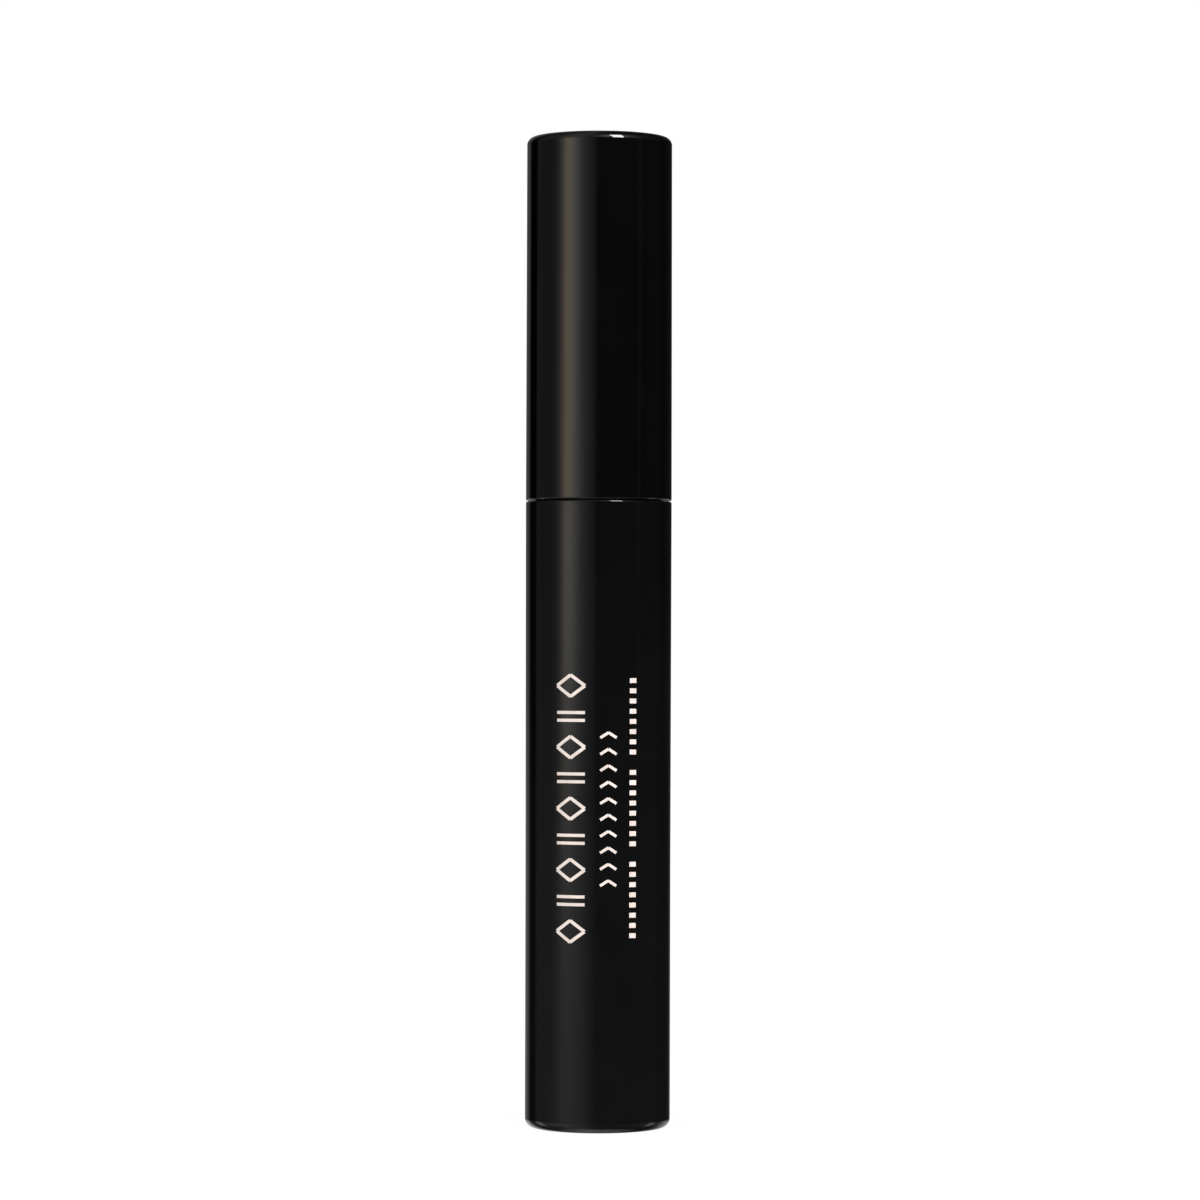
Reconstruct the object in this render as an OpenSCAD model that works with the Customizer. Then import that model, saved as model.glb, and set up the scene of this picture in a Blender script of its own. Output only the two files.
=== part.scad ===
// Slim screw-cap mascara, cap closed on the tube.
// The base stands on z = 0 and the common axis is Z. The cap turns counter-clockwise,
// seen from above, to unscrew, and the wand then pulls straight up out of the wiper.

/* [Outside] */
// Overall height with the cap closed
total_h = 116; // [113:0.5:120]
// Diameter of both shells where they meet
outer_d = 17.1; // [16.9:0.1:18]
// Height of the cap
cap_h = 42.6; // [42:0.1:45]
// Height of the groove between the shells
seam_gap = 0.1; // [0.1:0.05:0.4]
// Radius that the tube loses towards its closed foot
tube_draft = 0.05; // [0:0.01:0.1]
// Radius that the cap loses towards its closed top
cap_draft = 0.05; // [0:0.01:0.1]
// Rounding of the tube's foot
foot_round = 1.1; // [0.6:0.1:1.3]
// Rounding of the cap's top edge
top_round = 0.9; // [0.6:0.1:1.3]
// Rounding of the two edges at the seam
seam_round = 0.2; // [0.1:0.05:0.35]
// Wall of both shells
shell_wall = 1.1; // [1:0.05:1.2]

/* [Bottle and neck] */
// Wall of the inner bottle
bottle_wall = 0.9; // [0.8:0.05:1.1]
// Gap round the inner bottle, below its collar
bottle_gap = 0.15; // [0.1:0.05:0.25]
// Outer diameter of the neck, between the thread turns
neck_d = 10.6; // [10.4:0.1:10.8]
// Height of the neck above the collar
neck_h = 13; // [12.5:0.1:13.5]
// Bore of the neck
neck_bore_d = 8.6; // [8.4:0.1:8.8]

/* [Thread] */
// Rise of the cap in one turn
thread_lead = 2.5; // [2.4:0.1:2.8]
// Height of a thread ridge above its wall
thread_depth = 0.7; // [0.6:0.05:0.75]
// Radial gap from each ridge's crest to the facing wall
thread_gap = 0.2; // [0.15:0.01:0.25]
// Width of a ridge at its wall
thread_root_w = 1.1; // [1:0.05:1.15]
// Width of a ridge at its crest
thread_crest_w = 0.5; // [0.4:0.05:0.6]

/* [Wand] */
// Diameter of the rod
rod_d = 4; // [3.8:0.1:4.1]
// Radial clearance between the rod and the wiper's lip
lip_gap = 0.06; // [0.03:0.01:0.1]
// Length of brush that carries bristles
brush_l = 27; // [24:0.5:28]
// Largest diameter of the brush
brush_d = 8; // [7:0.1:8.4]
// Diameter of each wire strand
wire_d = 0.6; // [0.5:0.05:0.65]
// Gap between the brush tip and the bottle's floor
tip_gap = 5; // [4:0.5:7]

/* [Cream and weight] */
// Level of the cream above the bottle's floor
cream_h = 56; // [45:1:58]
// Height of the cap weight
weight_h = 9; // [7:0.5:10]
// Gap round the weight and above it
weight_gap = 0.4; // [0.3:0.05:0.6]

/* [Hidden] */

$fn = 96;
// Overlap of a cutting tool past the face that it cuts
eps = 0.01;
// Play drawn at a press fit, so that the two pieces don't share any space
press_play = 0.02;

rod_r = rod_d / 2;

// Outer shells
outer_r = outer_d / 2;
foot_r = outer_r - tube_draft;
foot_h = 30;
bore_r = outer_r - shell_wall;
tube_h = total_h - cap_h - seam_gap;
mouth_z = tube_h + seam_gap;
floor_t = 1.4;
roof_t = 1.3;
roof_z = total_h - roof_t;
bore_corner_r = 0.8;

// Base label, in its shallow recess
label_r = 6.2;
label_t = 0.12;
recess_r = 6.4;
recess_h = 0.3;

// Inner bottle
bottle_r = bore_r - bottle_gap;
cavity_r = bottle_r - bottle_wall;
bottle_floor_t = 1;
cavity_z = floor_t + bottle_floor_t;
cavity_corner_r = 2;
collar_h = 5;
collar_r = bore_r - press_play;
collar_drop = 0.4;
collar_z = tube_h - collar_drop;
neck_r = neck_d / 2;
neck_bore_r = neck_bore_d / 2;
rim_z = collar_z + neck_h;
shoulder_t = 1.6;
shoulder_slope = 2.2;
snap_depth = 0.18;
snap_h = 0.5;
snap_z = collar_z + 1.6;

// Wiper
flange_t = 0.7;
flange_r = neck_r - 0.2;
wiper_r = neck_bore_r - press_play;
wiper_wall = 0.8;
wiper_bore_r = wiper_r - wiper_wall;
lip_r = rod_r + lip_gap;
lip_t = 0.35;
lip_z = collar_z - 1.2;
funnel_h = 3.6;
flange_z = rim_z + flange_t;

// Sealing washer, on the wiper's flange
washer_t = 1;
washer_r = neck_r + 0.2;
washer_hole_r = rod_r + 0.3;
web_z = flange_z + washer_t;

// Thread: the neck's ridge starts at angle 0, and the cap's ridge starts at cap_start
// on the same helix, cap_drop lower. It runs off the neck's ridge in release_turns.
thread_z = collar_z + 2.6;
release_turns = 1.5;
release_rise = release_turns * thread_lead;
cap_start = 90;
neck_turns = release_turns + cap_start / 360;
cap_turns = 1;
cap_drop = 0.85;
thread_steps = 48;
thread_run_in = 40;
thread_root_sink = 0.25;
skirt_r = neck_r + thread_depth + thread_gap;

// Cap insert
insert_z = mouth_z + 0.5;
insert_r = bore_r - 0.3;
spline_r = bore_r - press_play;
spline_w = 0.8;
spline_count = 12;
web_t = 2;
socket_wall = 1.5;
rib_root = 0.5;
plug_r = rod_r + 0.4;
fin_count = 6;
fin_t = 0.9;
fin_r = insert_r - 0.6;
weight_z = roof_z - weight_gap - weight_h;
tower_z = weight_z;
tower_r = plug_r + socket_wall;
socket_h = 11;
socket_r = plug_r + press_play;
plug_top_z = web_z + socket_h - 0.2;

// Rod, with the bead that carries the washer up
bead_r = rod_r + 0.6;
bead_h = 1.2;
bead_play = 0.1;
bead_z = flange_z - release_rise - bead_h - bead_play;
rod_tip_h = 1.6;
rod_tip_r = rod_r - 0.7;

// Brush
brush_r = brush_d / 2;
brush_z = cavity_z + tip_gap;
wire_tail = 1.2;
rod_z = brush_z + brush_l + wire_tail;
wire_grip_l = 8;
wire_r = wire_d / 2;
wire_orbit = wire_r + 0.03;
wire_hole_r = wire_d + 0.06;
wire_bend_z = brush_z - 0.4;
wire_pitch = 4;
wire_sides = 6;
wire_ring_step = 0.4;
bend_step = 30;

// Weight
weight_r = bore_r - weight_gap;
weight_chamfer = 0.5;

// Cream, with the channel that the wand leaves in it
channel_r = brush_r + 0.25;
channel_z = brush_z - 1.2;
channel_top_z = brush_z + brush_l + release_rise + 0.4;
channel_neck_r = rod_r + 0.25;
channel_neck_h = 3;

// Half outline of a shell: the foot is rounded, the side is upright to h_straight and
// then leans out to r_top, and the top edge is rounded too
module drafted_outline(r_foot, r_top, h, h_straight, round_foot, round_top) {
    polygon([
        [0, 0],
        [r_foot - round_foot, 0],
        [r_foot - round_foot, round_foot],
        [r_foot, round_foot],
        [r_foot, h_straight],
        [r_top, h - round_top],
        [r_top - round_top, h],
        [0, h]
    ]);
    translate([r_foot - round_foot, round_foot]) circle(round_foot);
    translate([r_top - round_top, h - round_top]) circle(round_top);
}

// Half outline of a cylinder whose lower edge is rounded
module round_foot_outline(r, h, corner) {
    translate([0, corner]) square([r, h - corner]);
    square([r - corner, corner]);
    translate([r - corner, corner]) circle(corner);
}

// A right-hand ridge swept along a helix: root_r is buried in the wall and crest_r is
// its crest. Both ends sink back into the wall over the run-in angle.
module helix_ridge(root_r, crest_r, z, start, turns) {
    n = round(turns * thread_steps);
    points = [
        for (i = [0:n])
            let (
                sweep = turns * 360 * i / n,
                a = start + sweep,
                rise = z + thread_lead * a / 360,
                grow = min(1, sweep / thread_run_in, (turns * 360 - sweep) / thread_run_in),
                crest = root_r + (crest_r - root_r) * max(grow, 0.02),
                half_root = thread_root_w / 2,
                half_crest = thread_crest_w / 2
            )
            each [
                [root_r * cos(a), root_r * sin(a), rise - half_root],
                [crest * cos(a), crest * sin(a), rise - half_crest],
                [crest * cos(a), crest * sin(a), rise + half_crest],
                [root_r * cos(a), root_r * sin(a), rise + half_root]
            ]
    ];
    outward = crest_r > root_r;
    sides = [
        for (i = [0:n - 1], k = [0:3])
            let (a = 4 * i + k, b = 4 * i + (k + 1) % 4)
            each [[a, a + 4, b], [b, a + 4, b + 4]]
    ];
    caps = [[0, 1, 2], [0, 2, 3], [4 * n, 4 * n + 2, 4 * n + 1], [4 * n, 4 * n + 3, 4 * n + 2]];
    faces = concat(sides, caps);
    polyhedron(points, outward ? [for (f = faces) [f[0], f[2], f[1]]] : faces);
}

// Points of one ring of a tube, square to the direction that it runs in. The direction
// is never along Y, which keeps the rings from turning against each other.
function ring(centre, along, r, sides) =
    let (
        u = cross(along, [0, 1, 0]),
        side = u / norm(u),
        up = cross(side, along) / norm(along)
    )
    [
        for (k = [0:sides - 1])
            let (a = 360 * k / sides)
            centre + r * (cos(a) * side + sin(a) * up)
    ];

// A round tube swept through the points of a path
module swept_tube(path, r, sides) {
    last = len(path) - 1;
    rings = [
        for (i = [0:last])
            each ring(path[i], path[min(i + 1, last)] - path[max(i - 1, 0)], r, sides)
    ];
    walls = [
        for (i = [0:last - 1], k = [0:sides - 1])
            let (a = i * sides + k, b = i * sides + (k + 1) % sides)
            each [[a, b, a + sides], [b, b + sides, a + sides]]
    ];
    first_cap = [for (k = [sides - 1:-1:0]) k];
    last_cap = [for (k = [0:sides - 1]) last * sides + k];
    polyhedron(rings, concat(walls, [first_cap, last_cap]));
}

module outer_tube() {
    color([0.03, 0.03, 0.035])
    difference() {
        rotate_extrude()
            drafted_outline(foot_r, outer_r, tube_h, foot_h, foot_round, seam_round);
        rotate_extrude()
            translate([0, floor_t]) round_foot_outline(bore_r, tube_h, bore_corner_r);
        translate([0, 0, -eps]) cylinder(h = recess_h + eps, r = recess_r);
    }
}

module base_label() {
    color([0.85, 0.83, 0.8])
    translate([0, 0, recess_h - label_t]) cylinder(h = label_t, r = label_r);
}

// Half outline of the space inside the bottle: cavity, sloping shoulder, neck bore and
// the groove that the wiper snaps into
module bottle_inside() {
    slope_z = collar_z - shoulder_t - shoulder_slope;
    translate([0, cavity_z])
        round_foot_outline(cavity_r, slope_z - cavity_z - eps, cavity_corner_r);
    polygon([
        [0, slope_z - 2 * eps],
        [cavity_r, slope_z - 2 * eps],
        [cavity_r, slope_z],
        [neck_bore_r, slope_z + shoulder_slope],
        [neck_bore_r, rim_z + eps],
        [0, rim_z + eps]
    ]);
    translate([0, snap_z - snap_h / 2]) square([neck_bore_r + snap_depth, snap_h]);
}

module inner_bottle() {
    color([0.12, 0.12, 0.13])
    union() {
        rotate_extrude()
        difference() {
            union() {
                translate([0, floor_t])
                    round_foot_outline(bottle_r, collar_z - floor_t, bore_corner_r + bottle_gap);
                translate([0, collar_z - collar_h]) square([collar_r, collar_h]);
                translate([0, collar_z - eps]) square([neck_r, neck_h + eps]);
            }
            bottle_inside();
        }
        helix_ridge(neck_r - thread_root_sink, neck_r + thread_depth, thread_z, 0, neck_turns);
    }
}

// Half section of the wiper: flange, plug with its snap ring, funnel and thin lip
module wiper() {
    color([0.16, 0.16, 0.17])
    rotate_extrude()
    difference() {
        union() {
            translate([0, rim_z]) square([flange_r, flange_t]);
            translate([0, lip_z]) square([wiper_r, rim_z - lip_z + eps]);
            translate([0, snap_z - snap_h / 2]) square([wiper_r + snap_depth, snap_h]);
        }
        translate([0, lip_z + funnel_h]) square([wiper_bore_r, neck_h * 2]);
        polygon([
            [0, lip_z + lip_t],
            [lip_r, lip_z + lip_t],
            [wiper_bore_r, lip_z + funnel_h],
            [wiper_bore_r, lip_z + funnel_h + eps],
            [0, lip_z + funnel_h + eps]
        ]);
        translate([0, lip_z - eps]) square([lip_r, lip_t + 2 * eps]);
        polygon([
            [lip_r + lip_t, lip_z - eps],
            [wiper_r - lip_t, lip_z - eps],
            [wiper_r - lip_t, lip_z + funnel_h - 3 * lip_t]
        ]);
    }
}

module cream() {
    color([0.02, 0.02, 0.02])
    difference() {
        translate([0, 0, cavity_z]) rotate_extrude()
            round_foot_outline(cavity_r, cream_h, cavity_corner_r);
        translate([0, 0, channel_z]) cylinder(h = channel_top_z - channel_z, r = channel_r);
        translate([0, 0, channel_top_z - eps])
            cylinder(h = channel_neck_h + eps, r1 = channel_r, r2 = channel_neck_r);
        translate([0, 0, channel_top_z]) cylinder(h = cream_h, r = channel_neck_r);
    }
}

module cap_shell() {
    color([0.03, 0.03, 0.035])
    translate([0, 0, total_h]) mirror([0, 0, 1])
    difference() {
        rotate_extrude()
            drafted_outline(
                outer_r - cap_draft, outer_r, cap_h, top_round + eps, top_round, seam_round);
        rotate_extrude()
            translate([0, roof_t]) round_foot_outline(bore_r, cap_h, bore_corner_r);
    }
}

module cap_insert() {
    skirt_h = web_z + web_t - insert_z;
    color([0.12, 0.12, 0.13])
    union() {
        difference() {
            union() {
                translate([0, 0, insert_z]) cylinder(h = skirt_h, r = insert_r);
                intersection() {
                    for (i = [0:spline_count - 1])
                        rotate(360 * i / spline_count)
                        translate([insert_r - rib_root, -spline_w / 2, insert_z])
                            cube([bore_r - insert_r + rib_root, spline_w, skirt_h]);
                    cylinder(h = total_h, r = spline_r);
                }
                translate([0, 0, web_z]) cylinder(h = tower_z - web_z, r = tower_r);
                for (i = [0:fin_count - 1])
                    rotate(360 * i / fin_count)
                    translate([tower_r - rib_root, -fin_t / 2, web_z])
                        cube([fin_r - tower_r + rib_root, fin_t, tower_z - web_z]);
            }
            translate([0, 0, insert_z - eps]) cylinder(h = web_z - insert_z + eps, r = skirt_r);
            translate([0, 0, web_z - eps]) cylinder(h = socket_h + eps, r = socket_r);
        }
        helix_ridge(
            skirt_r + thread_root_sink, skirt_r - thread_depth,
            thread_z - cap_drop, cap_start, cap_turns);
    }
}

module cap_weight() {
    color([0.7, 0.7, 0.72])
    translate([0, 0, weight_z])
    union() {
        cylinder(h = weight_chamfer, r1 = weight_r - weight_chamfer, r2 = weight_r);
        translate([0, 0, weight_chamfer])
            cylinder(h = weight_h - 2 * weight_chamfer, r = weight_r);
        translate([0, 0, weight_h - weight_chamfer])
            cylinder(h = weight_chamfer, r1 = weight_r, r2 = weight_r - weight_chamfer);
    }
}

module sealing_washer() {
    color([0.9, 0.9, 0.88])
    translate([0, 0, flange_z])
    difference() {
        cylinder(h = washer_t, r = washer_r);
        translate([0, 0, -eps]) cylinder(h = washer_t + 2 * eps, r = washer_hole_r);
    }
}

module wand_rod() {
    color([0.05, 0.05, 0.055])
    difference() {
        union() {
            translate([0, 0, rod_z]) cylinder(h = rod_tip_h, r1 = rod_tip_r, r2 = rod_r);
            translate([0, 0, rod_z + rod_tip_h]) cylinder(h = web_z - rod_z - rod_tip_h, r = rod_r);
            translate([0, 0, bead_z]) cylinder(h = bead_h / 2, r1 = rod_r, r2 = bead_r);
            translate([0, 0, bead_z + bead_h / 2]) cylinder(h = bead_h / 2, r = bead_r);
            translate([0, 0, web_z]) cylinder(h = plug_top_z - web_z, r = plug_r);
        }
        translate([0, 0, rod_z - eps]) cylinder(h = wire_grip_l + eps, r = wire_hole_r);
    }
}

// One wire bent double at the brush tip, with its two halves twisted together
module brush_wire() {
    top_z = rod_z + wire_grip_l - 0.3;
    length = top_z - wire_bend_z;
    n = ceil(length / wire_ring_step);
    up = [
        for (i = [0:n])
            let (h = length * i / n, a = 360 * h / wire_pitch)
            [wire_orbit * cos(a), wire_orbit * sin(a), wire_bend_z + h]
    ];
    bend = [
        for (a = [180 - bend_step:-bend_step:bend_step])
            [wire_orbit * cos(a), 0, wire_bend_z - wire_orbit * sin(a)]
    ];
    down = [for (i = [n:-1:0]) [-up[i][0], -up[i][1], up[i][2]]];
    color([0.75, 0.75, 0.77])
    swept_tube(concat(down, bend, up), wire_r, wire_sides);
}

// The envelope that the bristle tips reach, tapered at the tip and hollow for the wire
module brush_bristles() {
    color([0.04, 0.04, 0.045])
    translate([0, 0, brush_z])
    rotate_extrude()
    polygon([
        [wire_hole_r, 0],
        [brush_r * 0.5, 0],
        [brush_r * 0.78, brush_l * 0.12],
        [brush_r * 0.95, brush_l * 0.3],
        [brush_r, brush_l * 0.5],
        [brush_r, brush_l * 0.9],
        [brush_r * 0.85, brush_l],
        [wire_hole_r, brush_l]
    ]);
}

outer_tube();
base_label();
inner_bottle();
wiper();
cream();
cap_shell();
cap_insert();
cap_weight();
sealing_washer();
wand_rod();
brush_wire();
brush_bristles();
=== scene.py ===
"""Looks of the slim mascara: materials, foil print, brush, camera and studio light."""

import math
import random

import bpy
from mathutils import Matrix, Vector


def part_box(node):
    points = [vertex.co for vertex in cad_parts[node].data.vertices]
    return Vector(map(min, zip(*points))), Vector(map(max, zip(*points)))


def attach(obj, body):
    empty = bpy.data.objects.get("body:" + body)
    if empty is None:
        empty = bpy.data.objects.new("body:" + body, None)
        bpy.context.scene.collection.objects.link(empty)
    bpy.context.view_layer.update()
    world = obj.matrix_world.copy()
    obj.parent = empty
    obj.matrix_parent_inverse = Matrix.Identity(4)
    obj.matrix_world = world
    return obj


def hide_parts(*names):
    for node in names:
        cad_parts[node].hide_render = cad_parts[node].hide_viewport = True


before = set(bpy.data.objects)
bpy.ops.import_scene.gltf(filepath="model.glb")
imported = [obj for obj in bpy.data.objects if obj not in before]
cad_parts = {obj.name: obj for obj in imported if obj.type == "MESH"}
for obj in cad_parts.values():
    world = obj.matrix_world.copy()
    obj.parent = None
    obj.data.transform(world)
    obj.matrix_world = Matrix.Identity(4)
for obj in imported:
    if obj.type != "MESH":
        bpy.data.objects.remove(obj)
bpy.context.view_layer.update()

MM = 0.001
UM = 0.000001
FULL_TURN = 2 * math.pi

# ---------------------------------------------------------------- sizes
# Places come from the boxes of the CAD parts in model.glb. The walls and roundings,
# which no box shows, repeat the CAD's own values.
TUBE_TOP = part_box("outer_tube")[1]
CAP_LOW, CAP_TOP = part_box("cap_shell")
BRISTLES_LOW, BRISTLES_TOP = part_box("brush_bristles")
WIRE_LOW, WIRE_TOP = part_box("brush_wire")
ROD_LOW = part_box("wand_rod")[0]
LABEL_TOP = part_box("base_label")[1]

TUBE_R = TUBE_TOP[0]
TUBE_DRAFT = 0.05 * MM
CAP_DRAFT = 0.05 * MM
UPRIGHT_H = 30 * MM
FOOT_ROUND = 1.1 * MM
TOP_ROUND = 0.9 * MM
SEAM_ROUND = 0.2 * MM
SHELL_WALL = 1.1 * MM
BORE_R = TUBE_R - SHELL_WALL
BORE_CORNER = 0.8 * MM
FLOOR_T = 1.4 * MM
ROOF_T = 1.3 * MM
RECESS_R = 6.4 * MM
EDGE_BREAK = 0.08 * MM
WIRE_R = 0.3 * MM
WIRE_ORBIT = 0.33 * MM
WIRE_PITCH = 4 * MM


# ---------------------------------------------------------------- mesh helpers
LONG_RUN = 0.5 * MM
HOLD = 0.04 * MM


def arc(centre_r, centre_z, radius, start, end, steps):
    """Points (r, z) of an arc, from the angle start to the angle end, in degrees."""
    angles = [math.radians(start + (end - start) * i / steps) for i in range(steps + 1)]
    return [(centre_r + radius * math.cos(a), centre_z + radius * math.sin(a)) for a in angles]


def make_piece(name, points, faces, body, slot, material, smooth_angle=35):
    """A mesh object that rides on a body, with smooth shading except at sharp edges."""
    mesh = bpy.data.meshes.new(name)
    mesh.from_pydata([tuple(p) for p in points], [], faces)
    mesh.validate()
    mesh.shade_smooth()
    mesh.set_sharp_from_angle(angle=math.radians(smooth_angle))
    piece = bpy.data.objects.new(name, mesh)
    bpy.context.scene.collection.objects.link(piece)
    mesh.materials.append(material)
    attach(piece, body)
    return piece


def hold(profile):
    """The profile with an extra point close to both ends of every long straight run, so that
    the runs shade flat right up to their rounded edges."""
    held = [profile[0]]
    for (r0, z0), (r1, z1) in zip(profile, profile[1:]):
        run = math.hypot(r1 - r0, z1 - z0)
        if run > LONG_RUN:
            for share in (HOLD / run, 1 - HOLD / run):
                held.append((r0 + (r1 - r0) * share, z0 + (z1 - z0) * share))
        held.append((r1, z1))
    return held


def lathe(profile, segments):
    """Points and faces of a closed solid turned from a profile that starts and ends on the axis."""
    profile = hold(profile)
    points = [(0, 0, profile[0][1])]
    for r, z in profile[1:-1]:
        for k in range(segments):
            a = FULL_TURN * k / segments
            points.append((r * math.cos(a), r * math.sin(a), z))
    points.append((0, 0, profile[-1][1]))
    rings = len(profile) - 2
    faces = []
    for k in range(segments):
        n = (k + 1) % segments
        faces.append((0, 1 + n, 1 + k))
        last = 1 + (rings - 1) * segments
        faces.append((len(points) - 1, last + k, last + n))
        for ring in range(rings - 1):
            low = 1 + ring * segments
            high = low + segments
            faces.append((low + k, low + n, high + n, high + k))
    return points, faces


def sweep(path, radii, sides):
    """Points and faces of a closed round rod swept along a path, with a radius at each point."""
    points = []
    side = None
    for i, centre in enumerate(path):
        along = (path[min(i + 1, len(path) - 1)] - path[max(i - 1, 0)]).normalized()
        if side is None:
            side = along.orthogonal().normalized()
        side = (side - along * side.dot(along)).normalized()
        up = along.cross(side)
        for k in range(sides):
            a = FULL_TURN * k / sides
            points.append(centre + radii[i] * (math.cos(a) * side + math.sin(a) * up))
    faces = [tuple(range(sides - 1, -1, -1))]
    for i in range(len(path) - 1):
        for k in range(sides):
            n = (k + 1) % sides
            low, high = i * sides, (i + 1) * sides
            faces.append((low + k, low + n, high + n, high + k))
    end = (len(path) - 1) * sides
    faces.append(tuple(end + k for k in range(sides)))
    return points, faces


def join(parts):
    """One list of points and faces from several."""
    points, faces = [], []
    for part_points, part_faces in parts:
        start = len(points)
        points.extend(part_points)
        faces.extend(tuple(start + v for v in face) for face in part_faces)
    return points, faces


# ---------------------------------------------------------------- material helpers
class Shader:
    """A Principled material that is built up node by node."""

    def __init__(self, name, **constants):
        self.material = bpy.data.materials.new(name)
        self.material.use_nodes = True
        self.tree = self.material.node_tree
        self.bsdf = self.tree.nodes["Principled BSDF"]
        for socket, value in constants.items():
            self.bsdf.inputs[socket.replace("_", " ")].default_value = value
        self.place = self.node("ShaderNodeTexCoord").outputs["Object"]

    def node(self, kind, **settings):
        made = self.tree.nodes.new(kind)
        for key, value in settings.items():
            setattr(made, key, value)
        return made

    def feed(self, source, target):
        self.tree.links.new(source, target)

    def noise(self, size, detail=4, stretch=(1, 1, 1)):
        """Noise from 0 to 1 whose blotches are about size across, in metres."""
        scale = self.node("ShaderNodeMapping")
        scale.inputs["Scale"].default_value = stretch
        self.feed(self.place, scale.inputs["Vector"])
        noise = self.node("ShaderNodeTexNoise")
        noise.inputs["Scale"].default_value = 1 / size
        noise.inputs["Detail"].default_value = detail
        self.feed(scale.outputs["Vector"], noise.inputs["Vector"])
        return noise.outputs["Fac"]

    def remap(self, source, low, high, to_low=0.0, to_high=1.0, smooth=True):
        """Values of source between low and high, spread from to_low to to_high."""
        ranged = self.node("ShaderNodeMapRange")
        ranged.interpolation_type = "SMOOTHSTEP" if smooth else "LINEAR"
        limits = {"From Min": low, "From Max": high, "To Min": to_low, "To Max": to_high}
        for socket, value in limits.items():
            ranged.inputs[socket].default_value = value
        self.feed(source, ranged.inputs["Value"])
        return ranged.outputs["Result"]

    def math(self, operation, first, second=None):
        made = self.node("ShaderNodeMath", operation=operation)
        for socket, value in zip(made.inputs, (first, second)):
            if value is None:
                continue
            if isinstance(value, (int, float)):
                socket.default_value = value
            else:
                self.feed(value, socket)
        return made.outputs["Value"]

    def blend(self, mask, first, second):
        """A colour that is first where the mask is 0 and second where it is 1."""
        mix = self.node("ShaderNodeMix", data_type="RGBA")
        self.feed(mask, mix.inputs["Factor"])
        for socket, value in zip((mix.inputs[6], mix.inputs[7]), (first, second)):
            if isinstance(value, tuple):
                socket.default_value = (*value, 1)
            else:
                self.feed(value, socket)
        return mix.outputs[2]

    def mix_value(self, mask, first, second):
        mix = self.node("ShaderNodeMix", data_type="FLOAT")
        self.feed(mask, mix.inputs["Factor"])
        for socket, value in zip((mix.inputs["A"], mix.inputs["B"]), (first, second)):
            if isinstance(value, (int, float)):
                socket.default_value = value
            else:
                self.feed(value, socket)
        return mix.outputs["Result"]

    def height(self):
        """The point's height in the object, in metres."""
        split = self.node("ShaderNodeSeparateXYZ")
        self.feed(self.place, split.inputs["Vector"])
        return split.outputs["Z"]

    def radius(self):
        """The point's distance from the object's axis, in metres."""
        flat = self.node("ShaderNodeVectorMath", operation="MULTIPLY")
        flat.inputs[1].default_value = (1, 1, 0)
        self.feed(self.place, flat.inputs[0])
        length = self.node("ShaderNodeVectorMath", operation="LENGTH")
        self.feed(flat.outputs["Vector"], length.inputs[0])
        return length.outputs["Value"]

    def bump(self, source, height, strength=1.0, under=None):
        """Bump whose full range is height, in metres, laid over another bump."""
        bump = self.node("ShaderNodeBump")
        bump.inputs["Strength"].default_value = strength
        bump.inputs["Distance"].default_value = height
        self.feed(source, bump.inputs["Height"])
        if under is not None:
            self.feed(under, bump.inputs["Normal"])
        return bump.outputs["Normal"]

    def finish(self, colour=None, roughness=None, normal=None, metallic=None):
        sockets = {
            "Base Color": colour, "Roughness": roughness, "Normal": normal, "Metallic": metallic}
        for socket, source in sockets.items():
            if source is not None:
                self.feed(source, self.bsdf.inputs[socket])
        return self.material


# ---------------------------------------------------------------- materials
def gloss_plastic(name, dark, light, ior):
    """Gloss moulded plastic: deep colour, a little orange peel and the faintest hairlines."""
    s = Shader(name, IOR=ior)
    cloud = s.remap(s.noise(9 * MM), 0.35, 0.65)
    colour = s.blend(cloud, dark, light)
    hairline = s.remap(s.noise(0.12 * MM, detail=2, stretch=(1, 1, 0.02)), 0.62, 0.74)
    rough = s.remap(s.noise(7 * MM), 0.3, 0.7, 0.042, 0.052)
    roughness = s.mix_value(hairline, rough, 0.085)
    peel = s.bump(s.noise(1.6 * MM, detail=1), 1.2 * UM)
    return s.finish(colour, roughness, s.bump(hairline, 0.15 * UM, under=peel))


def satin_plastic(name, dark, light, rough, wet=None):
    """Satin moulded plastic with a fine mould grain. wet says where a film of cream lies on
    it: "height" or "radius", and where the film is whole and where it has thinned out to none."""
    s = Shader(name)
    colour = s.blend(s.remap(s.noise(3 * MM), 0.35, 0.65), dark, light)
    roughness = s.remap(s.noise(0.8 * MM), 0.3, 0.7, rough - 0.05, rough + 0.06)
    normal = s.bump(s.noise(0.12 * MM, detail=2), 6 * UM)
    if wet is not None:
        across, whole, none = wet
        place = s.height() if across == "height" else s.radius()
        smear = s.noise(0.9 * MM, detail=3, stretch=(1, 1, 0.16))
        streaks = s.remap(smear, 0.25, 0.75, -0.45, 0.45)
        thinning = s.remap(
            place, min(whole, none), max(whole, none), float(whole < none), float(whole > none), False)
        film = s.remap(s.math("ADD", thinning, streaks), 0.38, 0.68)
        colour = s.blend(film, colour, (0.0035, 0.003, 0.003))
        roughness = s.mix_value(film, roughness, 0.15)
        normal = s.bump(s.noise(0.4 * MM, detail=2, stretch=(1, 1, 0.3)), 12 * UM, under=normal)
        normal = s.bump(film, 25 * UM, under=normal)
    return s.finish(colour, roughness, normal)


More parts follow.
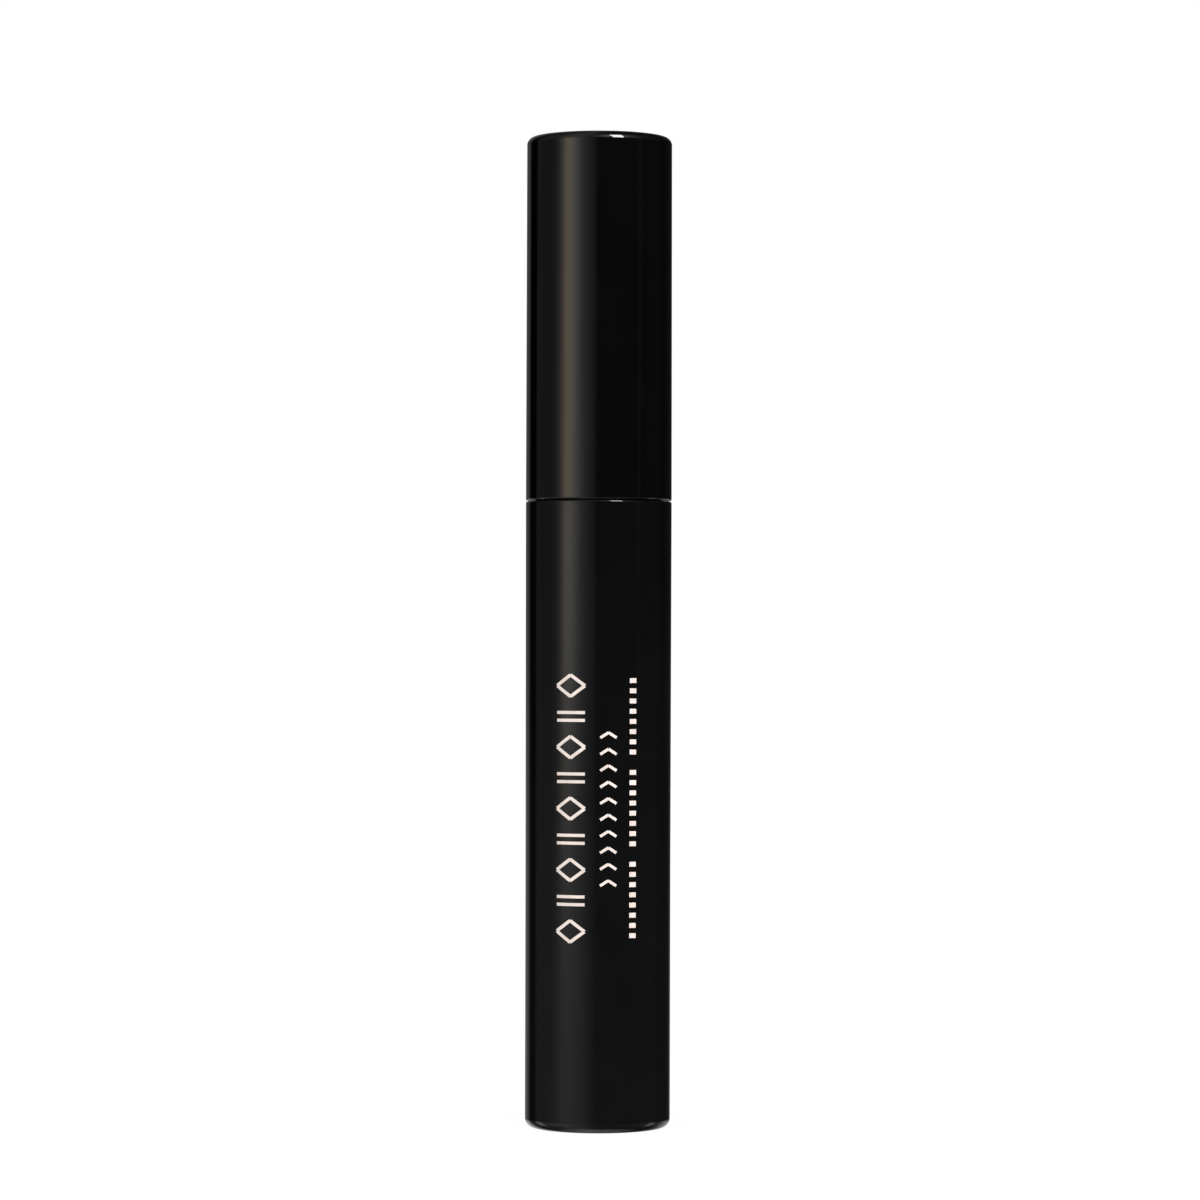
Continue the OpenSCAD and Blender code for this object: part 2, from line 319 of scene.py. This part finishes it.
def foil():
    """Pale rose hot-stamped foil, a little broken up by the press."""
    s = Shader("foil_rose", IOR=1.6)
    colour = s.blend(s.remap(s.noise(1.2 * MM), 0.35, 0.65), (0.78, 0.68, 0.63), (0.87, 0.78, 0.73))
    roughness = s.remap(s.noise(0.25 * MM), 0.3, 0.7, 0.34, 0.5)
    metal = s.remap(s.noise(0.6 * MM), 0.3, 0.7, 0.12, 0.3)
    return s.finish(colour, roughness, s.bump(s.noise(0.06 * MM), 2 * UM), metal)


def foam():
    """Foamed polyethylene: off-white, matt, pitted by its cells."""
    s = Shader("washer_foam")
    cells = s.node("ShaderNodeTexVoronoi", feature="DISTANCE_TO_EDGE")
    cells.inputs["Scale"].default_value = 1 / (0.14 * MM)
    s.feed(s.place, cells.inputs["Vector"])
    wall = s.remap(cells.outputs["Distance"], 0.0, 0.12)
    stain = s.remap(s.noise(2 * MM), 0.58, 0.7)
    colour = s.blend(stain, s.blend(wall, (0.62, 0.6, 0.56), (0.8, 0.79, 0.75)), (0.12, 0.11, 0.1))
    return s.finish(colour, s.remap(wall, 0, 1, 0.9, 0.7), s.bump(wall, 25 * UM))


def turned_steel():
    """A zinc-plated steel slug with turning marks round it."""
    s = Shader("weight_steel", Metallic=1.0)
    colour = s.blend(s.remap(s.noise(2.5 * MM), 0.3, 0.7), (0.46, 0.46, 0.45), (0.6, 0.61, 0.62))
    marks = s.noise(0.15 * MM, detail=2, stretch=(0.02, 0.02, 1))
    return s.finish(colour, s.remap(marks, 0.3, 0.7, 0.22, 0.4), s.bump(marks, 4 * UM))


def drawn_wire():
    """Drawn stainless wire, streaked along its length and blackened by cream in patches."""
    s = Shader("wire_steel")
    streak = s.noise(0.08 * MM, detail=2, stretch=(1, 1, 0.15))
    cream = s.remap(s.noise(1.1 * MM), 0.42, 0.52)
    steel = s.blend(streak, (0.45, 0.45, 0.46), (0.7, 0.7, 0.71))
    colour = s.blend(cream, steel, (0.004, 0.0035, 0.0035))
    roughness = s.mix_value(cream, s.remap(streak, 0.3, 0.7, 0.22, 0.38), 0.2)
    metal = s.remap(cream, 0, 1, 1.0, 0.0)
    return s.finish(colour, roughness, s.bump(streak, 3 * UM), metal)


def nylon():
    """Black nylon bristle, its colour and wetness varying from fibre to fibre."""
    s = Shader("bristle_nylon")
    varied = s.noise(0.35 * MM, detail=2)
    colour = s.blend(s.remap(varied, 0.3, 0.7), (0.004, 0.0035, 0.0035), (0.018, 0.017, 0.018))
    grain = s.bump(s.noise(0.05 * MM), 3 * UM)
    return s.finish(colour, s.remap(varied, 0.3, 0.7, 0.18, 0.42), grain)


def wet_cream():
    """Thick black cream, wet and lightly ridged."""
    s = Shader("cream_black")
    ridges = s.noise(0.5 * MM, detail=5, stretch=(1, 1, 2))
    colour = s.blend(s.remap(ridges, 0.35, 0.65), (0.0025, 0.0022, 0.0022), (0.008, 0.007, 0.007))
    return s.finish(colour, s.remap(s.noise(1 * MM), 0.3, 0.7, 0.1, 0.26), s.bump(ridges, 60 * UM))


LABEL_R = 6.15 * MM
LABEL_EDGE = 0.25 * MM
SWATCH_R = 2.4 * MM
SWATCH_EDGE = 0.05 * MM


def label_film():
    """A plain pale label with a round black swatch of the shade and a darker cut edge."""
    s = Shader("label_film")
    edge = s.remap(s.radius(), LABEL_R - LABEL_EDGE, LABEL_R)
    swatch = s.remap(s.radius(), SWATCH_R - SWATCH_EDGE, SWATCH_R, 1.0, 0.0)
    paper = s.blend(s.remap(s.noise(0.5 * MM), 0.35, 0.65), (0.66, 0.64, 0.61), (0.74, 0.72, 0.69))
    colour = s.blend(swatch, s.blend(edge, paper, (0.45, 0.43, 0.4)), (0.006, 0.0055, 0.0055))
    roughness = s.remap(s.noise(0.4 * MM), 0.3, 0.7, 0.36, 0.5)
    return s.finish(colour, roughness, s.bump(s.noise(0.1 * MM), 4 * UM))


TUBE_BLACK = (0.0017, 0.0017, 0.0018), (0.0024, 0.0024, 0.0025)
CAP_BLACK = (0.0008, 0.0008, 0.0009), (0.0012, 0.0012, 0.0013)
WIPER_BORE_R = 3.48 * MM
WET_FLANGE_W = 0.9 * MM
WET_ROD_H = 36 * MM
MATERIALS = {
    "outer_tube": gloss_plastic("gloss_black_tube", *TUBE_BLACK, 1.48),
    "cap_shell": gloss_plastic("gloss_black_cap", *CAP_BLACK, 1.57),
    "inner_bottle": satin_plastic(
        "inner_black", (0.011, 0.011, 0.012), (0.016, 0.016, 0.017), 0.32),
    "cap_insert": satin_plastic(
        "insert_black", (0.012, 0.012, 0.013), (0.018, 0.018, 0.019), 0.34),
    "wiper": satin_plastic(
        "wiper_black", (0.02, 0.02, 0.021), (0.03, 0.03, 0.031), 0.38,
        wet=("radius", WIPER_BORE_R, WIPER_BORE_R + WET_FLANGE_W)),
    "wand_rod": satin_plastic(
        "rod_black", (0.008, 0.008, 0.009), (0.012, 0.012, 0.013), 0.24,
        wet=("height", ROD_LOW[2], ROD_LOW[2] + WET_ROD_H)),
    "sealing_washer": foam(),
    "cap_weight": turned_steel(),
    "brush_wire": drawn_wire(),
    "brush_bristles": nylon(),
    "cream": wet_cream(),
    "base_label": label_film(),
}
FOIL = foil()


def dress_cad():
    """Give every carried-over CAD node its material."""
    for node_name, material in MATERIALS.items():
        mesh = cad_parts[node_name].data
        mesh.materials.clear()
        mesh.materials.append(material)


# ---------------------------------------------------------------- shells
SHELL_SEGMENTS = 192


def build_outer_tube():
    """The outer tube: recessed foot, drafted wall, rounded seam edge and plain bore."""
    foot_r = TUBE_R - TUBE_DRAFT
    top = TUBE_TOP[2]
    recess_z = LABEL_TOP[2]
    profile = [(0, recess_z), (RECESS_R - EDGE_BREAK, recess_z), (RECESS_R, recess_z - EDGE_BREAK)]
    profile += arc(RECESS_R + EDGE_BREAK, EDGE_BREAK, EDGE_BREAK, 180, 270, 4)
    profile += arc(foot_r - FOOT_ROUND, FOOT_ROUND, FOOT_ROUND, 270, 360, 16)
    profile += [(foot_r, UPRIGHT_H)]
    profile += arc(TUBE_R - SEAM_ROUND, top - SEAM_ROUND, SEAM_ROUND, 0, 90, 10)
    profile += arc(BORE_R + EDGE_BREAK, top - EDGE_BREAK, EDGE_BREAK, 90, 180, 4)
    profile += arc(BORE_R - BORE_CORNER, FLOOR_T + BORE_CORNER, BORE_CORNER, 0, -90, 8)
    profile += [(0, FLOOR_T)]
    piece = make_piece(
        "tube_outer_shell", *lathe(profile, SHELL_SEGMENTS),
        "tube", "gloss_black", MATERIALS["outer_tube"])
    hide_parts("outer_tube")


def build_cap_shell():
    """The cap: rounded top edge, drafted wall, rounded seam edge and plain bore."""
    top_r = TUBE_R - CAP_DRAFT
    mouth, top = CAP_LOW[2], CAP_TOP[2]
    roof = top - ROOF_T
    profile = [(0, roof)]
    profile += arc(BORE_R - BORE_CORNER, roof - BORE_CORNER, BORE_CORNER, 90, 0, 8)
    profile += arc(BORE_R + EDGE_BREAK, mouth + EDGE_BREAK, EDGE_BREAK, 180, 270, 4)
    profile += arc(TUBE_R - SEAM_ROUND, mouth + SEAM_ROUND, SEAM_ROUND, 270, 360, 10)
    profile += arc(top_r - TOP_ROUND, top - TOP_ROUND, TOP_ROUND, 0, 90, 14)
    profile += [(0, top)]
    piece = make_piece(
        "cap_outer_shell", *lathe(profile, SHELL_SEGMENTS),
        "cap", "gloss_black", MATERIALS["cap_shell"])
    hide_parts("cap_shell")


# ---------------------------------------------------------------- foil print
FOIL_T = 0.015 * MM
FOIL_SINK = 0.01 * MM
FOIL_STEP = 0.25 * MM
LOZENGE_HALF_H = 1.25 * MM
LOZENGE_W = 0.38 * MM
BAR_OFFSET = 0.45 * MM
BAR_W = 0.36 * MM
CHEVRONS = 10
CHEVRON_RISE = 0.6 * MM
CHEVRON_W = 0.32 * MM
SQUARE_GROUP = 9
SQUARE_W = 0.85 * MM


def wall_radius(z):
    """Radius of the tube's drafted wall at a height."""
    rise = (z - UPRIGHT_H) / (TUBE_TOP[2] - SEAM_ROUND - UPRIGHT_H)
    return TUBE_R - TUBE_DRAFT * (1 - min(max(rise, 0), 1))


def on_wall(across, z, proud):
    """A point on the front of the tube: across is the distance round it, from the middle."""
    a = across / TUBE_R
    r = wall_radius(z) + proud
    return Vector((r * math.sin(a), -r * math.cos(a), z))


def stroke(start, end, width):
    """A thin closed bar of foil that follows the wall from start to end, (across, z) pairs."""
    start, end = Vector(start), Vector(end)
    run = end - start
    side = Vector((-run.y, run.x)).normalized() * width / 2
    steps = max(1, math.ceil(run.length / FOIL_STEP))
    points = []
    for i in range(steps + 1):
        middle = start + run * i / steps
        for edge in (middle - side, middle + side):
            points.append(on_wall(edge.x, edge.y, FOIL_T))
            points.append(on_wall(edge.x, edge.y, -FOIL_SINK))
    faces = [(0, 1, 3, 2)]
    for i in range(steps):
        a, b = 4 * i, 4 * (i + 1)
        faces += [(a, a + 2, b + 2, b), (a + 1, b + 1, b + 3, a + 3)]
        faces += [(a, b, b + 1, a + 1), (a + 2, a + 3, b + 3, b + 2)]
    end_row = 4 * steps
    faces.append((end_row, end_row + 2, end_row + 3, end_row + 1))
    return points, faces


def lozenge(across, z, half_across, half_z, width):
    """The four strokes of an open lozenge."""
    corners = [
        (across, z + half_z), (across + half_across, z),
        (across, z - half_z), (across - half_across, z)]
    return [stroke(corners[i], corners[(i + 1) % 4], width) for i in range(4)]


def build_print():
    """Three upright rows of plain marks: open lozenges between bars, chevrons and squares."""
    strokes = []
    across, middle_z, pitch, half = -3.3 * MM, 37.6 * MM, 3.55 * MM, 1.75 * MM
    for i in range(-4, 5):
        z = middle_z + i * pitch
        if i % 2 == 0:
            strokes += lozenge(across, z, half, LOZENGE_HALF_H, LOZENGE_W)
        else:
            for bar_z in (z - BAR_OFFSET, z + BAR_OFFSET):
                strokes.append(stroke((across - half, bar_z), (across + half, bar_z), BAR_W))
    across, low_z, pitch, half = 1.2 * MM, 28.7 * MM, 1.9 * MM, 0.95 * MM
    for i in range(CHEVRONS):
        z = low_z + i * pitch
        peak = (across, z + CHEVRON_RISE)
        strokes.append(stroke((across - half, z), peak, CHEVRON_W))
        strokes.append(stroke(peak, (across + half, z), CHEVRON_W))
    across, low_z, pitch, half = 4.2 * MM, 22.9 * MM, 1.18 * MM, 0.28 * MM
    for i in range(3 * SQUARE_GROUP):
        if i % SQUARE_GROUP == SQUARE_GROUP - 1:
            continue
        z = low_z + i * pitch
        strokes.append(stroke((across, z - half), (across, z + half), SQUARE_W))
    make_piece("foil_print", *join(strokes), "tube", "foil_rose", FOIL)


# ---------------------------------------------------------------- brush
FIBRE_PAIRS = 1500
FIBRE_MARGIN = 0.15 * MM
FIBRE_STEPS = (0.08, 0.4, 0.72, 1.0)
FIBRE_RADII = (0.05 * MM, 0.048 * MM, 0.042 * MM, 0.03 * MM)
BRUSH_OUTLINE = [(0, 0.5), (0.12, 0.78), (0.3, 0.95), (0.5, 1.0), (0.9, 1.0), (1.0, 0.85)]
CREAM_R = 0.66
CREAM_FAN = 0.55
CREAM_LUMPS = 0.25


def brush_radius(z):
    """Radius that the bristle tips reach at a height, from the tip's taper to the heel."""
    share = (z - BRISTLES_LOW[2]) / (BRISTLES_TOP[2] - BRISTLES_LOW[2])
    for (s0, r0), (s1, r1) in zip(BRUSH_OUTLINE, BRUSH_OUTLINE[1:]):
        if share <= s1:
            return BRISTLES_TOP[0] * (r0 + (r1 - r0) * max(share - s0, 0) / (s1 - s0))
    return BRISTLES_TOP[0] * BRUSH_OUTLINE[-1][1]


def build_bristles():
    """Straight fibres held across the twisted wires, so that they fan round it in a spiral."""
    dice = random.Random(11)
    fibres = []
    low, high = BRISTLES_LOW[2] + FIBRE_MARGIN, BRISTLES_TOP[2] - FIBRE_MARGIN
    for i in range(FIBRE_PAIRS):
        z = low + (high - low) * (i + dice.random()) / FIBRE_PAIRS
        spin = FULL_TURN * z / WIRE_PITCH + dice.gauss(0, 0.22)
        for half in (0, math.pi):
            a = spin + half
            reach = brush_radius(z) * (0.985 - 0.09 * dice.random() ** 2)
            out = Vector((math.cos(a), math.sin(a), 0))
            sideways = Vector((-math.sin(a), math.cos(a), 0))
            sway = dice.gauss(0, 0.035)
            lean = dice.gauss(0, 0.05)
            path = []
            for step in FIBRE_STEPS:
                bend = step * step
                lift = min(max(z + lean * reach * step, low), high)
                point = out * reach * step + sideways * sway * reach * bend
                path.append(Vector((point.x, point.y, lift)))
            fibres.append(sweep(path, FIBRE_RADII, 4))
    piece = make_piece(
        "brush_fibres", *join(fibres), "cap", "bristle_nylon", MATERIALS["brush_bristles"], 60)
    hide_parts("brush_bristles")


def build_brush_cream():
    """The cream that stays between the roots of the bristles after wiping."""
    dice = random.Random(4)
    low, high = BRISTLES_LOW[2] + 0.3 * MM, BRISTLES_TOP[2] + 0.6 * MM
    rings, sides = 150, 40
    lumps = [
        (dice.uniform(0, FULL_TURN), dice.uniform(0.3, 1.2), dice.uniform(2, 9)) for _ in range(5)]
    points = [(0, 0, low)]
    for i in range(1, rings):
        share = i / rings
        z = low + (high - low) * share
        ends = min(1, share / 0.06, (1 - share) / 0.04)
        for k in range(sides):
            a = FULL_TURN * k / sides
            fan = abs(math.cos(a - FULL_TURN * z / WIRE_PITCH)) ** 3
            lump = sum(math.sin(a * round(f) + p + z / MM * w) for p, w, f in lumps) / len(lumps)
            r = (CREAM_R + (CREAM_FAN * fan + CREAM_LUMPS * lump) * ends) * MM * (0.4 + 0.6 * ends)
            points.append((r * math.cos(a), r * math.sin(a), z))
    points.append((0, 0, high))
    faces = []
    for k in range(sides):
        n = (k + 1) % sides
        faces.append((0, 1 + n, 1 + k))
        last = 1 + (rings - 2) * sides
        faces.append((len(points) - 1, last + k, last + n))
        for ring in range(rings - 2):
            start = 1 + ring * sides
            faces.append((start + k, start + n, start + sides + n, start + sides + k))
    make_piece("brush_cream", points, faces, "cap", "cream_black", MATERIALS["cream"], 70)


def build_wire():
    """One wire bent double at the tip, its halves twisted together up into the rod."""
    low, high = WIRE_LOW[2] + WIRE_R + WIRE_ORBIT, WIRE_TOP[2]
    steps = 200
    strand = []
    for i in range(steps + 1):
        rise = (high - low) * i / steps
        a = FULL_TURN * rise / WIRE_PITCH
        strand.append(Vector((WIRE_ORBIT * math.cos(a), WIRE_ORBIT * math.sin(a), low + rise)))
    bend = []
    for degrees in range(165, 0, -15):
        a = math.radians(degrees)
        bend.append(Vector((WIRE_ORBIT * math.cos(a), 0, low - WIRE_ORBIT * math.sin(a))))
    back = [Vector((-p.x, -p.y, p.z)) for p in reversed(strand)]
    path = back + bend + strand
    piece = make_piece(
        "twisted_wire", *sweep(path, [WIRE_R] * len(path), 12),
        "cap", "wire_steel", MATERIALS["brush_wire"], 60)
    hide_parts("brush_wire")


# ---------------------------------------------------------------- stage
# Lengths in metres, the lens in millimetres, the lean in degrees.
CAMERA_DISTANCE = 0.52
CAMERA_HEIGHT = 0.057
CAMERA_SIDE = 0.00018
CAMERA_LEAN = -0.14
LENS = 132.93
HORIZON_SHIFT = 0.03395

FLOOR_SIZE = 4
FLOOR_GREY = 0.12
FLOOR_GLOW = 0.97

# The front box: its distance in metres, its size and place in degrees seen from the tube.
BOX_RADIANCE = 18
BOX_DISTANCE = 2
BOX_WIDTH = 17
BOX_HEIGHT = 32
BOX_BEARING = 30.5
BOX_ELEVATION = 33

WARM_TINT = (1, 0.85, 0.63, 1)
WHITE = (1, 1, 1, 1)


def build_camera():
    """A level long lens at the middle of the tube's height, straight in front."""
    data = bpy.data.cameras.new("camera")
    data.lens = LENS
    data.sensor_width = 36
    data.shift_y = HORIZON_SHIFT
    data.clip_start = 0.01
    camera = bpy.data.objects.new("camera", data)
    camera.location = (CAMERA_SIDE, -CAMERA_DISTANCE, CAMERA_HEIGHT)
    camera.rotation_euler = (math.radians(90), math.radians(CAMERA_LEAN), 0)
    bpy.context.scene.collection.objects.link(camera)
    bpy.context.scene.camera = camera


def build_floor():
    """A plain pale floor that glows, like a light table, and isn't seen in reflections."""
    mesh = bpy.data.meshes.new("floor")
    corners = [(x * FLOOR_SIZE, y * FLOOR_SIZE, 0) for x, y in ((-1, -1), (1, -1), (1, 1), (-1, 1))]
    mesh.from_pydata(corners, [], [(0, 1, 2, 3)])
    floor = bpy.data.objects.new("floor", mesh)
    bpy.context.scene.collection.objects.link(floor)
    material = bpy.data.materials.new("floor")
    material.use_nodes = True
    bsdf = material.node_tree.nodes["Principled BSDF"]
    bsdf.inputs["Base Color"].default_value = (FLOOR_GREY, FLOOR_GREY, FLOOR_GREY, 1)
    bsdf.inputs["Roughness"].default_value = 1
    bsdf.inputs["Emission Color"].default_value = WHITE
    bsdf.inputs["Emission Strength"].default_value = FLOOR_GLOW
    mesh.materials.append(material)
    floor.visible_glossy = False


def build_front_box():
    """A small bright softbox high on the right. It lights only the gloss shells, for the glints
    on their edges, and the foil."""
    data = bpy.data.lights.new("front_box", "AREA")
    data.shape = "RECTANGLE"
    data.size = 2 * BOX_DISTANCE * math.tan(math.radians(BOX_WIDTH / 2))
    data.size_y = 2 * BOX_DISTANCE * math.tan(math.radians(BOX_HEIGHT / 2))
    data.energy = BOX_RADIANCE * math.pi * data.size * data.size_y
    box = bpy.data.objects.new("front_box", data)
    across, up = math.radians(BOX_BEARING), math.radians(BOX_ELEVATION)
    out = Vector((math.sin(across) * math.cos(up), -math.cos(across) * math.cos(up), math.sin(up)))
    box.location = Vector((0, 0, CAMERA_HEIGHT)) + out * BOX_DISTANCE
    box.rotation_euler = (-out).to_track_quat("-Z", "Y").to_euler()
    box.visible_camera = False
    bpy.context.scene.collection.objects.link(box)
    lit = bpy.data.collections.new("lit_by_front_box")
    for piece_name in ("tube_outer_shell", "cap_outer_shell", "foil_print"):
        lit.objects.link(bpy.data.objects[piece_name])
    box.light_linking.receiver_collection = lit


def build_world():
    """Soft studio surroundings by direction: a tall softbox on the left, faint rims behind, the
    front box's spill and a soft glow below. The camera sees it all as plain white."""
    world = bpy.data.worlds.new("studio")
    bpy.context.scene.world = world
    world.use_nodes = True
    tree = world.node_tree
    background = tree.nodes["Background"]
    add, link = tree.nodes.new, tree.links.new

    def calc(operation, first, second=None):
        made = add("ShaderNodeMath")
        made.operation = operation
        for socket, value in zip(made.inputs, (first, second)):
            if isinstance(value, (int, float)):
                socket.default_value = value
            elif value is not None:
                link(value, socket)
        return made.outputs["Value"]

    def ramp(source, stops):
        made = add("ShaderNodeFloatCurve")
        curve = made.mapping.curves[0]
        made.mapping.use_clip = False
        for i, (place, value) in enumerate(stops):
            if i < 2:
                point = curve.points[i]
                point.location = (place, value)
            else:
                point = curve.points.new(place, value)
            point.handle_type = "VECTOR"
        made.mapping.update()
        link(source, made.inputs["Value"])
        return made.outputs["Value"]

    direction = add("ShaderNodeTexCoord").outputs["Generated"]
    split = add("ShaderNodeSeparateXYZ")
    link(direction, split.inputs["Vector"])
    # bearing: 0.5 straight in front of the object, rising to 1 round its left to the back.
    # level: -0.5 straight down, 0.5 level, 1.5 straight up.
    left = calc("MULTIPLY", split.outputs["X"], -1)
    front = calc("MULTIPLY", split.outputs["Y"], -1)
    bearing = calc("ADD", calc("DIVIDE", calc("ARCTAN2", left, front), FULL_TURN), 0.5)
    level = calc("ADD", split.outputs["Z"], 0.5)

    def stops(pairs):
        return [(0.5 + degrees / 360, value) for degrees, value in pairs]

    lower = ramp(bearing, stops([
        (-180, 0.22), (-165, 0.1), (-148, 0.02), (-120, 0.03), (-90, 0.08), (0, 0.09), (3, 0.1),
        (10, 0.17), (20, 0.29), (30, 0.4), (42, 0.47), (54, 0.48), (60, 0.45), (66, 0.35), (72, 0.27),
        (80, 0.2), (90, 0.17), (104, 0.15), (116, 0.09), (120, 0.02), (137, 0.02), (144, 0.2),
        (160, 0.25), (180, 0.25)]))
    upper = ramp(bearing, stops([
        (-180, 0.1), (-160, 0.02), (-120, 0.01), (-100, 0.03), (-72, 0.03), (-67, 0.06), (-62, 0.03),
        (0, 0.03), (3, 0.04), (8, 0.14), (15, 0.21), (20, 0.3), (25, 0.41), (30, 0.58), (36, 0.96),
        (42, 1.36), (48, 1.66), (54, 1.6), (60, 0.86), (66, 0.36), (72, 0.19), (80, 0.12), (90, 0.1),
        (114, 0.09), (119, 0.0), (138, 0.0), (144, 0.13), (180, 0.13)]))
    by_height = ramp(level, [
        (0.0, 0.0), (0.4, 0.0), (0.42, 0.04), (0.46, 0.27), (0.5, 0.85), (0.53, 1.0), (0.66, 1.0),
        (0.76, 0.3), (1.0, 0.1)])
    walls = add("ShaderNodeMix")
    link(by_height, walls.inputs["Factor"])
    link(lower, walls.inputs["A"])
    link(upper, walls.inputs["B"])

    spill = ramp(bearing, stops([
        (-180, 0.0), (-80, 0.0), (-55, 0.4), (-43, 1.0), (-18, 1.0), (-5, 0.6), (15, 0.0),
        (180, 0.0)]))
    spill_by_height = ramp(level, [
        (0.0, 0.0), (0.74, 0.0), (0.84, 1.0), (1.22, 1.0), (1.34, 0.0), (1.5, 0.0)])
    high = calc("MULTIPLY", spill, spill_by_height)

    underneath = ramp(level, [(-0.5, 0.8), (-0.44, 0.65), (-0.33, 0.0), (1.5, 0.0)])
    table = ramp(bearing, stops([
        (-180, 0.5), (-140, 0.7), (-115, 0.15), (-108, 0.2), (-103, 1.2), (-93, 1.2), (-88, 0.2),
        (-70, 0.12), (-30, 0.04), (30, 0.04), (50, 0.2), (80, 0.3), (98, 0.2), (103, 1.2),
        (113, 1.2), (118, 0.15), (135, 0.1), (150, 0.8), (180, 0.5)]))
    table_by_height = ramp(level, [
        (-0.5, 0.0), (-0.15, 0.05), (0.08, 1.0), (0.28, 1.0), (0.37, 0.0), (1.5, 0.0)])
    below = calc("ADD", underneath, calc("MULTIPLY", table, table_by_height))
    light = calc("ADD", calc("ADD", walls.outputs["Result"], high), below)

    warm = ramp(bearing, stops([
        (-180, 0.0), (30, 0.0), (50, 1.0), (60, 1.0), (66, 0.0), (180, 0.0)]))
    warm_by_height = ramp(level, [
        (0.0, 0.0), (0.42, 0.0), (0.5, 0.4), (0.528, 0.4), (0.534, 1.0), (1.0, 1.0)])
    tint = add("ShaderNodeMix")
    tint.data_type = "RGBA"
    link(calc("MULTIPLY", warm, warm_by_height), tint.inputs["Factor"])
    tint.inputs[6].default_value = WHITE
    tint.inputs[7].default_value = WARM_TINT
    tinted = add("ShaderNodeVectorMath")
    tinted.operation = "SCALE"
    link(tint.outputs[2], tinted.inputs[0])
    link(light, tinted.inputs["Scale"])

    seen = add("ShaderNodeLightPath").outputs["Is Camera Ray"]
    colour = add("ShaderNodeMix")
    colour.data_type = "RGBA"
    link(seen, colour.inputs["Factor"])
    link(tinted.outputs["Vector"], colour.inputs[6])
    colour.inputs[7].default_value = WHITE
    link(colour.outputs[2], background.inputs["Color"])


dress_cad()
build_outer_tube()
build_cap_shell()
build_print()
build_bristles()
build_brush_cream()
build_wire()
build_camera()
build_floor()
build_front_box()
build_world()
bpy.context.scene.view_settings.view_transform = "Standard"
